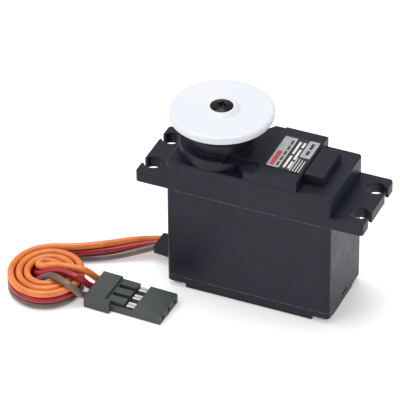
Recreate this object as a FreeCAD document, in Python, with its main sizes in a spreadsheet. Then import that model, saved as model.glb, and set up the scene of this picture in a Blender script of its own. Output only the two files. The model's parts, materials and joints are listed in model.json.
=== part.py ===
import FreeCAD, Part
import math
import os
import Sketcher

# A standard-size servo motor: three-piece case with flanges, motor, gear train,
# potentiometer, circuit board, round horn, and a three-wire lead with its plug.
# Frame: +X along the case, away from the lead; +Z up along the output shaft;
# z = 0 is the underside that the case stands on. Millimetres throughout.

Vector = FreeCAD.Vector
UP = Vector(0, 0, 1)

SIZES = {
    # case
    "case_length": 39.0, "case_width": 19.0, "corner_radius": 0.9, "wall": 1.2,
    "foot_height": 1.1, "foot_inset": 0.45, "foot_corner_x": 15.2, "foot_corner_y": 6.0,
    "cover_seam": 3.0, "case_seam": 26.5, "deck_height": 34.0, "platform_height": 36.5,
    "edge_break": 0.3, "seam_break": 0.2, "top_break": 0.22, "foot_chamfer": 0.3,
    "post_x": 15.6, "post_y": 5.9, "cover_floor": 1.45, "cover_hollow_x": 14.0,
    "pry_depth": 0.5, "pry_half_width": 1.5, "over_cut": 0.1,
    "partition_bottom": 25.3, "roof_low": 32.75, "roof_high": 34.9,
    "roof_bay_end": 4.2, "roof_bay_half_width": 4.4, "shaft_opening_radius": 3.7,
    # flanges
    "flange_top": 29.2, "flange_reach": 27.0, "hole_spacing_x": 49.0, "hole_spacing_y": 10.0,
    "hole_radius": 2.15, "slot_width": 2.2,
    # top of the upper case
    "drum_radius": 9.4, "platform_end": 11.4,
    "strip_drop": 0.45, "strip_edge": 5.65, "strip_start": -6.4, "strip_end": 1.4,
    "notch_right": -1.0, "notch_tip_x": -3.3, "notch_tip_y": 6.6,
    "nub_start": 11.6, "nub_end": 16.0, "nub_half_width": 5.4,
    "collar_radius": 7.4, "collar_top": 39.4,
    # label
    "label_start": 2.5, "label_end": 11.05, "label_front": -6.1, "label_back": 6.4,
    "label_thickness": 0.15,
    # axes of the gear train, all on the line y = 0
    "output_x": -10.1, "idler_x": 0.1, "motor_x": 9.7,
    "first_level": 27.3, "second_level": 29.0, "third_level": 30.7, "output_level": 32.4,
    "wheel_thickness": 1.4, "output_thickness": 2.0, "pinion_drop": 0.1, "running_gap": 0.03,
    "idler_pin_radius": 0.8, "idler_pin_bottom": 25.8, "idler_pin_top": 35.5,
    "upper_pin_radius": 0.6, "upper_pin_bottom": 28.8, "upper_pin_top": 33.7,
    # output shaft and its bearing
    "shaft_low_radius": 2.2, "shaft_radius": 3.0, "shaft_bottom": 25.5, "shaft_shoulder": 0.4,
    "spline_start": 39.7, "spline_top": 43.1, "spline_depth": 0.2, "spline_gap": 0.05,
    "pot_bore_depth": 4.0, "thread_radius": 1.2, "thread_bottom": 37.0,
    "bush_radius": 3.2, "bush_height": 1.8,
    "bearing_radius": 6.0, "bearing_bottom": 35.3, "bearing_top": 38.3,
    "ball_pitch_radius": 4.5, "ball_radius": 0.6, "race_inner": 3.9, "race_outer": 5.1,
    "groove_slack": 0.15, "cage_gap": 0.15, "cage_lift": 0.5, "cage_height": 0.65,
    # horn
    "horn_radius": 11.8, "horn_bottom": 42.5, "horn_top": 44.45, "horn_rim": 0.85,
    "horn_hub_radius": 4.4, "horn_hub_bottom": 40.1, "horn_bore_radius": 1.25,
    "horn_boss_radius": 4.2, "horn_boss_top": 45.1, "horn_boss_top_radius": 3.1,
    "horn_boss_break": 0.2, "horn_recess_radius": 2.62, "horn_recess_bottom": 44.85,
    "horn_screw_radius": 2.55, "horn_screw_top": 45.6, "horn_screw_crown": 0.45,
    "horn_screw_shank": 1.15, "horn_screw_bottom": 38.0,
    "horn_cross_length": 2.3, "horn_cross_width": 0.5, "horn_cross_depth": 0.6,
    # motor
    "can_radius": 7.9, "can_wall": 0.6, "can_bottom": 9.5, "can_end": 0.8,
    "motor_boss_radius": 3.0, "motor_boss_top": 26.3, "motor_boss_gap": 0.05,
    "end_cap_bottom": 8.3, "end_cap_top": 10.1,
    "motor_shaft_radius": 1.0, "motor_shaft_bottom": 8.5, "motor_shaft_top": 28.6,
    "commutator_radius": 1.9, "commutator_bottom": 10.3, "commutator_top": 11.9,
    "armature_radius": 5.9, "armature_bottom": 12.4, "armature_height": 9.4,
    "armature_slot_start": 3.3, "armature_slot_length": 3.2, "armature_slot_width": 1.1,
    "magnet_outer": 7.25, "magnet_inner": 6.2, "magnet_bottom": 11.5, "magnet_height": 11.5,
    "magnet_gap": 4.5, "brush_x": 3.55, "brush_bottom": 10.6, "brush_length": 3.2,
    "brush_side": 1.0, "terminal_x": 5.0, "terminal_bottom": 5.6, "terminal_thickness": 0.5,
    "terminal_width": 1.8, "motor_screw_y": 5.5, "motor_screw_radius": 0.8,
    "motor_screw_bottom": 24.6, "motor_screw_head_radius": 1.4, "motor_screw_head_height": 0.6,
    "motor_screw_slot_width": 0.4, "motor_screw_slot_depth": 0.3,
    # potentiometer and circuit board
    "pot_radius": 6.0, "pot_bottom": 16.5, "pot_top": 22.5, "pot_neck_radius": 3.4,
    "pot_floor": 19.0, "pot_shaft_radius": 1.5, "pot_shaft_bottom": 19.2, "pot_shaft_top": 29.4,
    "pot_pin_pitch": 2.5, "pot_pin_thickness": 0.5, "pot_pin_width": 0.9,
    "board_bottom": 4.6, "board_thickness": 1.0, "board_half_length": 15.0,
    "board_half_width": 7.4,
    # case screws
    "screw_x": 17.35, "screw_y": 7.65, "screw_radius": 0.8, "screw_head_radius": 1.35,
    "screw_head_low": 0.5, "screw_top": 30.65, "screw_hole_top": 31.5,
    "cross_length": 1.9, "cross_width": 0.35, "cross_depth": 0.45,
    # strain relief
    "relief_end": -25.8, "relief_half_width": 2.75, "relief_low": 2.2, "relief_high": 4.05,
    "relief_root_half_width": 3.0, "relief_root_low": 1.9, "relief_root_high": 4.3,
    "relief_flange_half_width": 4.0, "relief_flange_low": 1.6, "relief_flange_high": 4.6,
    "relief_flange_thickness": 0.8,
    # lead and its coil
    "wire_diameter": 1.6, "coil_x": -45.0, "coil_y": -20.2, "coil_half_x": 8.95,
    "coil_half_y": 10.0, "coil_height": 4.9,
    # plug
    "plug_rear": -33.1, "plug_y": -18.85, "plug_turn": -1.8, "plug_length": 18.3,
    "plug_width": 9.2, "plug_height": 2.45, "plug_rear_length": 4.8, "plug_rear_height": 3.1,
    "key_length": 6.2, "key_width": 1.1, "plug_edge_break": 0.15,
    "contact_pitch": 3.1, "contact_hole": 1.0, "contact_hole_depth": 3.5,
    "window_end": 11.8, "finger_end": 9.2, "finger_width": 2.0, "finger_offset": 0.25,
    "slot_start": 5.2, "slot_floor": 0.6, "bay_floor": 1.1, "bay_wall": 0.25,
    "bay_wall_height": 1.75, "bar_width": 0.7, "bar_gap": 0.3, "bar_length": 2.0,
    "bar_height": 1.0, "bar_clearance": 0.1, "contact_plate": 0.3,
}

TEETH = {"motor": 12, "first": 36, "first_small": 12, "second": 36, "second_small": 10,
         "third": 30, "third_small": 10, "output": 24}
MODULE = {"first": 0.40, "second": 0.40, "third": 0.48, "output": 0.60}
PRESSURE_ANGLE = math.radians(20)
PINION_ADDENDUM = 0.95
WHEEL_ADDENDUM = 0.6
DEDENDUM = 1.15
BACKLASH = 0.06
SPLINE_TEETH = 25
BALLS = 9
POLES = 3
# each electronic part on the board: x, y, length, width and height
CHIPS_UNDER = [(-4, 0, 7, 7, 1.2), (8, 2.5, 4.5, 3.4, 1.2), (8, -2.5, 4.5, 3.4, 1.2)]
CHIPS_ON_TOP = [(x, y, 1.9, 1.1, 0.6) for x in (-3.5, -0.5, 2.5) for y in (-5.5, 5.5)]
CAPACITOR = (-2, 0, 2, 4.5)

document = FreeCAD.newDocument("servo_motor")
sheet = document.addObject("Spreadsheet::Sheet", "Sizes")
for row, (alias, value) in enumerate(SIZES.items(), start=1):
    sheet.set("A%d" % row, alias)
    sheet.set("B%d" % row, str(value))
    sheet.setAlias("B%d" % row, alias)
document.recompute()

nodes = []


def size(alias):
    """Read one driving dimension from the sheet."""
    return float(sheet.get(alias))


def cell(alias):
    """Name a driving dimension in an expression."""
    return "Sizes." + alias


def keep(item, label):
    """Take an object as a finished sub-part with this label."""
    item.Label = label
    nodes.append(item)
    return item


# ---------------------------------------------------------------- bodies with sketches

def new_body(label, x=None):
    """Start a body whose own origin stands at x on the line of the axes."""
    body = document.addObject("PartDesign::Body", "Body_" + label)
    if x:
        body.setExpression("Placement.Base.x", x)
    return keep(body, label)


def add_sketch(body, plane="XY_Plane", level=None):
    """Attach an empty sketch to one of the body's origin planes, lifted to a level."""
    sketch = body.newObject("Sketcher::SketchObject", "Sketch")
    support = [item for item in body.Origin.OriginFeatures if item.Role == plane][0]
    sketch.AttachmentSupport = [(support, "")]
    sketch.MapMode = "FlatFace"
    if level:
        sketch.setExpression("AttachmentOffset.Base.z", level)
    return sketch


def pin_point(sketch, geometry, point, x, y):
    """Hold a sketch point at two expressions measured from the sketch's origin."""
    for kind, text in (("DistanceX", x), ("DistanceY", y)):
        index = sketch.addConstraint(Sketcher.Constraint(kind, -1, 1, geometry, point, 1.0))
        sketch.setExpression("Constraints[%d]" % index, str(text))


def add_polygon(sketch, corners):
    """Draw a closed outline of straight sides through corners given as expressions."""
    count = len(corners)
    start = [Vector(math.cos(2 * math.pi * i / count), math.sin(2 * math.pi * i / count), 0)
             for i in range(count)]
    lines = [sketch.addGeometry(Part.LineSegment(start[i], start[(i + 1) % count]))
             for i in range(count)]
    for i, line in enumerate(lines):
        following = lines[(i + 1) % count]
        sketch.addConstraint(Sketcher.Constraint("Coincident", line, 2, following, 1))
    for line, (x, y) in zip(lines, corners):
        pin_point(sketch, line, 1, x, y)


def add_rectangle(sketch, x_low, x_high, y_low, y_high):
    """Draw a rectangle between four expressions."""
    add_polygon(sketch, [(x_low, y_low), (x_high, y_low), (x_high, y_high), (x_low, y_high)])


def add_circle(sketch, x, y, radius):
    """Draw a circle at two expressions with a radius expression."""
    circle = sketch.addGeometry(Part.Circle(Vector(1, 1, 0), UP, 1))
    pin_point(sketch, circle, 3, x, y)
    index = sketch.addConstraint(Sketcher.Constraint("Radius", circle, 1.0))
    sketch.setExpression("Constraints[%d]" % index, str(radius))


def add_feature(body, kind, sketch, length):
    """Pad or pocket a sketch by a length expression and check that it did something."""
    before = body.Tip.Shape.Volume if body.Tip else 0.0
    feature = body.newObject("PartDesign::" + kind, kind)
    feature.Profile = sketch
    feature.setExpression("Length", length)
    document.recompute()
    change = feature.Shape.Volume - before
    if (change <= 0) if kind == "Pad" else (change >= 0):
        raise RuntimeError("%s in %s changed nothing" % (kind, body.Label))
    return feature


def pad_rectangle(body, sides, level, height):
    sketch = add_sketch(body, level=level)
    add_rectangle(sketch, *sides)
    return add_feature(body, "Pad", sketch, height)


def pocket_rectangle(body, sides, level, depth):
    sketch = add_sketch(body, level=level)
    add_rectangle(sketch, *sides)
    return add_feature(body, "Pocket", sketch, depth)


def pad_circle(body, place, level, height):
    sketch = add_sketch(body, level=level)
    add_circle(sketch, *place)
    return add_feature(body, "Pad", sketch, height)


def pocket_circles(body, places, level, depth):
    sketch = add_sketch(body, level=level)
    for place in places:
        add_circle(sketch, *place)
    return add_feature(body, "Pocket", sketch, depth)


def dress(body, kind, radius, chosen):
    """Fillet or chamfer the edges of the body that a test picks."""
    base = body.Tip
    names = ["Edge%d" % (i + 1) for i, edge in enumerate(base.Shape.Edges) if chosen(edge)]
    feature = body.newObject("PartDesign::" + kind, kind)
    feature.Base = (base, names)
    feature.setExpression("Radius" if kind == "Fillet" else "Size", radius)
    document.recompute()
    return feature


def turned_body(label, outline, x=None):
    """Turn an outline of (radius, height) expressions about the body's own Z axis."""
    body = new_body(label, x)
    sketch = add_sketch(body, "XZ_Plane")
    add_polygon(sketch, outline)
    turn = body.newObject("PartDesign::Revolution", "Revolution")
    turn.Profile = sketch
    turn.ReferenceAxis = (sketch, ["V_Axis"])
    turn.Angle = 360
    document.recompute()
    return body


# ---------------------------------------------------------------- primitives

def place_at(item, x, y, z):
    for axis, text in zip("xyz", (x, y, z)):
        item.setExpression("Placement.Base." + axis, str(text))


def cylinder(x, y, z, radius, height):
    """Upright cylinder standing on z."""
    item = document.addObject("Part::Cylinder", "Cylinder")
    item.setExpression("Radius", radius)
    item.setExpression("Height", height)
    place_at(item, x, y, z)
    return item


def box(x, y, z, length, width, height):
    """Box centred on x and y, standing on z."""
    item = document.addObject("Part::Box", "Box")
    item.setExpression("Length", length)
    item.setExpression("Width", width)
    item.setExpression("Height", height)
    place_at(item, "(%s) - (%s) / 2" % (x, length), "(%s) - (%s) / 2" % (y, width), z)
    return item


def fuse(*items):
    joined = document.addObject("Part::MultiFuse", "Fusion")
    joined.Shapes = list(items)
    return joined


def cut(base, *tools):
    """Cut one or more tools from a base."""
    for tool in tools:
        left = document.addObject("Part::Cut", "Cut")
        left.Base = base
        left.Tool = tool
        base = left
    return base


def group(label, items):
    """Keep like pieces together as separate solids of one node."""
    joined = document.addObject("Part::Compound", "Group_" + label)
    joined.Links = list(items)
    return keep(joined, label)


# ---------------------------------------------------------------- case

HALF_LENGTH = "Sizes.case_length / 2"
HALF_WIDTH = "Sizes.case_width / 2"
CASE_SIDES = ("-" + HALF_LENGTH, HALF_LENGTH, "-" + HALF_WIDTH, HALF_WIDTH)
INSIDE_LENGTH = "(Sizes.case_length / 2 - Sizes.wall)"
INSIDE_WIDTH = "(Sizes.case_width / 2 - Sizes.wall)"
# the two overlapping rectangles leave a square post in each corner for its screw
INSIDE_LONG = ("-" + INSIDE_LENGTH, INSIDE_LENGTH, "-Sizes.post_y", "Sizes.post_y")
INSIDE_WIDE = ("-Sizes.post_x", "Sizes.post_x", "-" + INSIDE_WIDTH, INSIDE_WIDTH)
RELIEF_MOUTH = ("-" + HALF_LENGTH + " - 1", "-" + INSIDE_LENGTH,
                "-Sizes.relief_root_half_width", "Sizes.relief_root_half_width")
SCREW_PLACES = [(sx + "Sizes.screw_x", sy + "Sizes.screw_y")
                for sx in ("", "-") for sy in ("", "-")]


def is_upright_edge_at(half_length, half_width):
    """Test for vertical edges at the corners of a rectangle of these half sizes."""
    def test(edge):
        middle = edge.CenterOfMass
        upright = len(edge.Vertexes) == 2 and abs(
            edge.Vertexes[0].Point.z - edge.Vertexes[1].Point.z) > 0.9 * edge.Length
        return upright and math.hypot(abs(middle.x) - half_length,
                                      abs(middle.y) - half_width) < 0.05
    return test


def is_flat_edge_at(level, least=2.0):
    """Test for long horizontal edges on the outside of the case at one height."""
    def test(edge):
        box_of_edge = edge.BoundBox
        on_level = abs(box_of_edge.ZMin - level) < 0.01 and abs(box_of_edge.ZMax - level) < 0.01
        middle = edge.CenterOfMass
        outside = (abs(middle.x) > size("case_length") / 2 - 1.0
                   or abs(middle.y) > size("case_width") / 2 - 1.0)
        return on_level and outside and edge.Length > least
    return test


def bottom_cover():
    body = new_body("bottom_cover")
    pad_rectangle(body, CASE_SIDES, cell("foot_height"), "Sizes.cover_seam - Sizes.foot_height")
    dress(body, "Fillet", cell("corner_radius"),
          is_upright_edge_at(size("case_length") / 2, size("case_width") / 2))
    dress(body, "Chamfer", cell("foot_chamfer"), is_flat_edge_at(size("foot_height"), 0.5))
    dress(body, "Fillet", cell("seam_break"), is_flat_edge_at(size("cover_seam"), 0.5))
    foot_x = "(Sizes.case_length / 2 - Sizes.foot_inset)"
    foot_y = "(Sizes.case_width / 2 - Sizes.foot_inset)"
    pad_rectangle(body, ("-" + foot_x, foot_x, "-Sizes.foot_corner_y", "Sizes.foot_corner_y"),
                  None, cell("foot_height"))
    pad_rectangle(body, ("-Sizes.foot_corner_x", "Sizes.foot_corner_x", "-" + foot_y, foot_y),
                  None, cell("foot_height"))
    depth = "Sizes.cover_seam - Sizes.cover_floor"
    pocket_rectangle(body, INSIDE_LONG, cell("cover_seam"), depth)
    # the wide hollow stops short of the thin rim beside the corner reliefs
    pocket_rectangle(body, ("-Sizes.cover_hollow_x", "Sizes.cover_hollow_x",
                            "-" + INSIDE_WIDTH, INSIDE_WIDTH), cell("cover_seam"), depth)
    pocket_circles(body, [place + (cell("screw_radius"),) for place in SCREW_PLACES],
                   cell("cover_seam"), cell("cover_seam"))
    pocket_rectangle(body, RELIEF_MOUTH, cell("cover_seam"),
                     "Sizes.cover_seam - Sizes.relief_root_low")
    # pry notch in the seam of the far end
    pocket_rectangle(body, (HALF_LENGTH + " - Sizes.pry_depth", HALF_LENGTH + " + 1",
                            "-Sizes.pry_half_width", "Sizes.pry_half_width"),
                     cell("cover_seam"), cell("pry_depth"))


def middle_case():
    body = new_body("middle_case")
    pad_rectangle(body, CASE_SIDES, cell("cover_seam"), "Sizes.case_seam - Sizes.cover_seam")
    dress(body, "Fillet", cell("corner_radius"),
          is_upright_edge_at(size("case_length") / 2, size("case_width") / 2))
    dress(body, "Fillet", cell("seam_break"), is_flat_edge_at(size("case_seam"), 0.5))
    depth = "Sizes.partition_bottom - Sizes.cover_seam"
    pocket_rectangle(body, INSIDE_LONG, cell("partition_bottom"), depth)
    pocket_rectangle(body, INSIDE_WIDE, cell("partition_bottom"), depth)
    whole = "Sizes.case_seam - Sizes.cover_seam"
    pocket_circles(body, [place + (cell("screw_radius"),) for place in SCREW_PLACES],
                   cell("case_seam"), whole)
    through = "Sizes.case_seam - Sizes.partition_bottom + Sizes.over_cut"
    pocket_circles(body, [(cell("output_x"), "0", cell("bush_radius")),
                          (cell("motor_x"), "0", "Sizes.motor_boss_radius + Sizes.motor_boss_gap")]
                   + [(cell("motor_x"), sign + "Sizes.motor_screw_y", cell("motor_screw_radius"))
                      for sign in ("", "-")], cell("case_seam"), through)
    pocket_circles(body, [(cell("idler_x"), "0", cell("idler_pin_radius"))],
                   cell("case_seam"), "Sizes.case_seam - Sizes.idler_pin_bottom")
    # mouth for the strain relief, above the one in the cover
    pocket_rectangle(body, RELIEF_MOUTH, cell("relief_root_high"),
                     "Sizes.relief_root_high - Sizes.cover_seam")


def flange_outline(body):
    """Both flanges: a plate across the case, rounded corners, four open-ended holes."""
    reach = cell("flange_reach")
    pad_rectangle(body, ("-" + reach, reach, "-" + HALF_WIDTH, HALF_WIDTH),
                  cell("case_seam"), "Sizes.flange_top - Sizes.case_seam")
    dress(body, "Fillet", cell("corner_radius"),
          is_upright_edge_at(size("flange_reach"), size("case_width") / 2))
    beyond = size("case_length") / 2 + 0.5
    dress(body, "Fillet", cell("edge_break"),
          lambda edge: edge.BoundBox.ZMin > size("flange_top") - 0.01
          and edge.BoundBox.ZMax < size("flange_top") + 0.01
          and abs(edge.CenterOfMass.x) > beyond)


def flange_holes(body):
    depth = "Sizes.flange_top - Sizes.case_seam"
    holes = [(sx + "Sizes.hole_spacing_x / 2", sy + "Sizes.hole_spacing_y / 2")
             for sx in ("", "-") for sy in ("", "-")]
    pocket_circles(body, [hole + (cell("hole_radius"),) for hole in holes],
                   cell("flange_top"), depth)
    for x_low, x_high in (("Sizes.hole_spacing_x / 2", "Sizes.flange_reach + 1"),
                          ("-Sizes.flange_reach - 1", "-Sizes.hole_spacing_x / 2")):
        for sign in ("", "-"):
            middle = sign + "Sizes.hole_spacing_y / 2"
            pocket_rectangle(body, (x_low, x_high, middle + " - Sizes.slot_width / 2",
                                    middle + " + Sizes.slot_width / 2"),
                             cell("flange_top"), depth)


def upper_case_top(body):
    """Deck, drum round the output, raised platform with its two notches, and the nub."""
    step = "Sizes.platform_height - Sizes.deck_height"
    deck = cell("deck_height")
    sketch = add_sketch(body, level=deck)
    tip_x, tip_y = cell("notch_tip_x"), cell("notch_tip_y")
    left, right = cell("output_x"), cell("notch_right")
    end = cell("platform_end")
    add_polygon(sketch, [
        (left, "-Sizes.notch_tip_y"), (tip_x, "-" + tip_y), (right, "-" + HALF_WIDTH),
        (end, "-" + HALF_WIDTH), (end, HALF_WIDTH), (right, HALF_WIDTH),
        (tip_x, tip_y), (left, tip_y)])
    add_feature(body, "Pad", sketch, step)
    pad_circle(body, (cell("output_x"), "0", cell("drum_radius")), deck, step)
    for y_low, y_high in ((cell("strip_edge"), HALF_WIDTH), ("-" + HALF_WIDTH, "-Sizes.strip_edge")):
        pocket_rectangle(body, (cell("strip_start"), cell("strip_end"), y_low, y_high),
                         cell("platform_height"), cell("strip_drop"))
    pad_rectangle(body, (cell("nub_start"), cell("nub_end"), "-Sizes.nub_half_width",
                         cell("nub_half_width")), deck, step)
    pad_circle(body, (cell("output_x"), "0", cell("collar_radius")), cell("platform_height"),
               "Sizes.collar_top - Sizes.platform_height")


def soften_top(body):
    """Break the outer edges of the platform, drum, nub and collar."""
    levels = (size("platform_height"), size("collar_top"))
    ring_base = is_round_edge(size("collar_radius"))

    def chosen(edge):
        bounds = edge.BoundBox
        flat = bounds.ZLength < 0.01
        if not flat or not any(abs(bounds.ZMin - level) < 0.01 for level in levels):
            return False
        return not (ring_base(edge) and bounds.ZMin < levels[1] - 0.01)
    dress(body, "Fillet", cell("top_break"), chosen)


def upper_case_inside(body):
    """Gear space, bearing seat, pin seats and screw holes, all open from below."""
    low_depth = "Sizes.roof_low - Sizes.case_seam"
    pocket_rectangle(body, INSIDE_LONG, cell("roof_low"), low_depth)
    pocket_rectangle(body, INSIDE_WIDE, cell("roof_low"), low_depth)
    high_depth = "Sizes.roof_high - Sizes.roof_low"
    pocket_circles(body, [(cell("output_x"), "0", "Sizes.drum_radius - Sizes.wall")],
                   cell("roof_high"), high_depth)
    pocket_rectangle(body, (cell("output_x"), cell("roof_bay_end"), "-Sizes.roof_bay_half_width",
                            cell("roof_bay_half_width")), cell("roof_high"), high_depth)
    pocket_circles(body, [(cell("output_x"), "0", cell("bearing_radius"))],
                   cell("bearing_top"), "Sizes.bearing_top - Sizes.roof_high")
    pocket_circles(body, [(cell("output_x"), "0", cell("shaft_opening_radius"))],
                   cell("collar_top"), "Sizes.collar_top - Sizes.bearing_top")
    pocket_circles(body, [(cell("idler_x"), "0", cell("idler_pin_radius"))],
                   cell("idler_pin_top"), "Sizes.idler_pin_top - Sizes.roof_high")
    pocket_circles(body, [(cell("motor_x"), "0", cell("upper_pin_radius"))],
                   cell("upper_pin_top"), "Sizes.upper_pin_top - Sizes.roof_low")
    pocket_circles(body, [place + (cell("screw_radius"),) for place in SCREW_PLACES],
                   cell("screw_hole_top"), "Sizes.screw_hole_top - Sizes.case_seam")


def upper_case():
    body = new_body("upper_case")
    pad_rectangle(body, CASE_SIDES, cell("case_seam"), "Sizes.deck_height - Sizes.case_seam")
    dress(body, "Fillet", cell("corner_radius"),
          is_upright_edge_at(size("case_length") / 2, size("case_width") / 2))
    dress(body, "Fillet", cell("edge_break"), is_flat_edge_at(size("deck_height"), 0.5))
    flange_outline(body)
    upper_case_top(body)
    soften_top(body)
    upper_case_inside(body)
    flange_holes(body)


def case_screw(x, y):
    """Long screw: a button head under the cover and a shank up into the upper case."""
    low = cell("screw_head_low")
    head = cylinder(x, y, low, cell("screw_head_radius"), "Sizes.foot_height - Sizes.screw_head_low")
    shank = cylinder(x, y, cell("foot_height"), cell("screw_radius"),
                     "Sizes.screw_top - Sizes.foot_height")
    long, short, deep = cell("cross_length"), cell("cross_width"), cell("cross_depth")
    return cut(fuse(head, shank), box(x, y, low, long, short, deep),
               box(x, y, low, short, long, deep))


def label_plate():
    """Thin printed label on the platform."""
    keep(box("(Sizes.label_start + Sizes.label_end) / 2",
             "(Sizes.label_front + Sizes.label_back) / 2", cell("platform_height"),
             "Sizes.label_end - Sizes.label_start", "Sizes.label_back - Sizes.label_front",
             cell("label_thickness")), "label_plate")


# ---------------------------------------------------------------- gears

def pin(label, place):
    """Steel pin that gears run on; its radius and ends are named after it."""
    keep(cylinder(cell(place), "0", cell(label + "_bottom"), cell(label + "_radius"),
                  "Sizes.%s_top - Sizes.%s_bottom" % (label, label)), label)


def shaft_bush():
    """Brass bush for the lower end of the output shaft."""
    x, low, tall = cell("output_x"), cell("partition_bottom"), cell("bush_height")
    keep(cut(cylinder(x, "0", low, cell("bush_radius"), tall),
             cylinder(x, "0", low, "Sizes.shaft_low_radius + Sizes.running_gap", tall)),
         "shaft_bush")


def involute(angle):
    return math.tan(angle) - angle


def gear_outline(teeth, module, addendum, phase):
    """Closed outline of an involute gear about the origin, tooth centred at phase."""
    pitch = module * teeth / 2
    base = pitch * math.cos(PRESSURE_ANGLE)
    tip = pitch + addendum * module
    root = pitch - DEDENDUM * module
    half_tooth = (math.pi * module / 2 - BACKLASH) / (2 * pitch)

    def flank(radius):
        spread = involute(math.acos(min(1.0, base / radius)))
        return half_tooth + involute(PRESSURE_ANGLE) - spread

    def at(radius, angle):
        return Vector(radius * math.cos(angle), radius * math.sin(angle), 0)

    start = max(base, root)
    radii = [start + (tip - start) * step / 3 for step in range(4)]
    edges = []
    last = None
    first = None
    for tooth in range(teeth):
        middle = phase + 2 * math.pi * tooth / teeth
        rise = [at(r, middle - flank(r)) for r in radii]
        fall = [at(r, middle + flank(r)) for r in reversed(radii)]
        foot = at(root, middle - flank(start))
        heel = at(root, middle + flank(start))
        if last is not None:
            edges.append(Part.LineSegment(last, foot).toShape())
        else:
            first = foot
        points = [foot] + rise if start > root else rise
        for a, b in zip(points, points[1:]):
            edges.append(Part.LineSegment(a, b).toShape())
        edges.append(Part.Arc(rise[-1], at(tip, middle), fall[0]).toShape())
        points = fall + [heel] if start > root else fall
        for a, b in zip(points, points[1:]):
            edges.append(Part.LineSegment(a, b).toShape())
        last = heel
    edges.append(Part.LineSegment(last, first).toShape())
    return Part.Wire(edges)


def gear_prism(name, addendum, level, thickness):
    """One toothed disc; wheels stand half a tooth round so that pinions mesh with them."""
    kind = name.replace("_small", "")
    after = {"motor": "first", "first_small": "second", "second_small": "third",
             "third_small": "output"}
    module = MODULE[after.get(name, kind)]
    teeth = TEETH[name]
    phase = 0.0 if name in after else math.pi / teeth
    face = Part.Face(gear_outline(teeth, module, addendum, phase))
    prism = face.extrude(Vector(0, 0, thickness))
    prism.translate(Vector(0, 0, level))
    return prism


def ring(radius, hole, level, height):
    """Plain round hub or spacer with a hole through it."""
    hub = Part.makeCylinder(radius, height, Vector(0, 0, level))
    if hole:
        hub = hub.cut(Part.makeCylinder(hole, height, Vector(0, 0, level)))
    return hub


def solid_node(label, shape, x):
    """Keep a shape made about the Z axis as a sub-part standing at x."""
    item = document.addObject("Part::Feature", "Feature_" + label)
    item.Shape = shape.removeSplitter()
    item.Placement = FreeCAD.Placement(Vector(x, 0, 0), FreeCAD.Rotation())
    return keep(item, label)


def double_gear(label, wheel, pinion, wheel_level, pinion_end, bore, x):
    """A wheel and the small gear on top of it, bored to run on a pin."""
    thickness = size("wheel_thickness")
    shape = gear_prism(wheel, WHEEL_ADDENDUM, wheel_level, thickness)
    middle = wheel_level + thickness
    shape = shape.fuse(gear_prism(pinion, PINION_ADDENDUM, middle, pinion_end - middle))
    hole = Part.makeCylinder(bore, pinion_end - wheel_level, Vector(0, 0, wheel_level))
    solid_node(label, shape.cut(hole), x)


def gear_train():
    thickness = size("wheel_thickness")
    gap = size("running_gap")
    double_gear("first_gear", "first", "first_small", size("first_level"),
                size("second_level") + thickness, size("idler_pin_radius") + gap,
                size("idler_x"))
    double_gear("second_gear", "second", "second_small", size("second_level"),
                size("third_level") + thickness, size("upper_pin_radius") + gap,
                size("motor_x"))
    double_gear("third_gear", "third", "third_small", size("third_level"),
                size("output_level") + size("output_thickness"),
                size("idler_pin_radius") + gap, size("idler_x"))
    drop = size("pinion_drop")
    pinion = gear_prism("motor", PINION_ADDENDUM, size("first_level") - drop, thickness + drop)
    bore = ring(size("motor_shaft_radius"), 0, size("first_level") - drop, thickness + drop)
    solid_node("motor_pinion", pinion.cut(bore), size("motor_x"))


def spline_prism(level, height):
    """Fine toothed end of the output shaft that the horn presses onto."""
    outer = size("shaft_radius") - size("spline_gap")
    inner = outer - size("spline_depth")
    points = []
    for tooth in range(SPLINE_TEETH):
        for radius, shift in ((outer, -0.15), (outer, 0.15), (inner, 0.35), (inner, 0.65)):
            angle = 2 * math.pi * (tooth + shift) / SPLINE_TEETH
            points.append(Vector(radius * math.cos(angle), radius * math.sin(angle), level))
    face = Part.Face(Part.makePolygon(points + points[:1]))
    return face.extrude(Vector(0, 0, height))


def output_gear():
    """Output gear and shaft in one piece, with a bore for the potentiometer's shaft."""
    level = size("output_level")
    gear_top = level + size("output_thickness")
    low = size("shaft_bottom")
    shape = gear_prism("output", WHEEL_ADDENDUM, level, size("output_thickness"))
    shape = shape.fuse([
        ring(size("shaft_low_radius"), 0, low, level - low),
        ring(size("shaft_radius") + size("shaft_shoulder"), 0, gear_top,
             size("bearing_bottom") - gear_top),
        ring(size("shaft_radius"), 0, size("bearing_bottom"),
             size("spline_start") - size("bearing_bottom")),
        spline_prism(size("spline_start"), size("spline_top") - size("spline_start"))])
    shape = shape.cut([ring(size("pot_shaft_radius"), 0, low, size("pot_bore_depth")),
                       ring(size("thread_radius"), 0, size("thread_bottom"),
                            size("spline_top") - size("thread_bottom"))])
    solid_node("output_gear", shape, size("output_x"))


# ---------------------------------------------------------------- bearing and horn

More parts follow.
